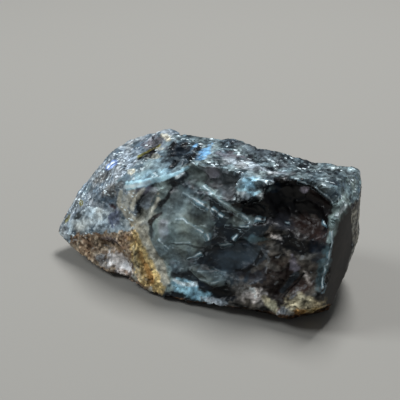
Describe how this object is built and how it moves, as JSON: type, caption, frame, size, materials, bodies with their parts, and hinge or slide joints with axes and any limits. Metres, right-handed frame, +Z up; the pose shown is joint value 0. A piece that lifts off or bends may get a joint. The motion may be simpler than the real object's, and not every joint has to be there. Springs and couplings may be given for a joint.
{
  "type": "rough zircon crystal",
  "caption": "Rough dark zircon crystal, glassy and broken in front with a weathered crust at one end, resting on a flat fracture face.",
  "frame": {"origin": "a point on the flat resting face, near the middle of the stone", "axes": "+X along the stone to its blunt right end, -Y to the glassy broken side, +Z up from the resting face"},
  "size_m": [0.0473, 0.0208, 0.021],
  "materials": {
    "zircon": "glassy dark fracture faces, frosted glittering top, ochre granular crust at the left"
  },
  "bodies": {
    "root": {"zircon_crystal": "zircon"}
  },
  "joints": []
}
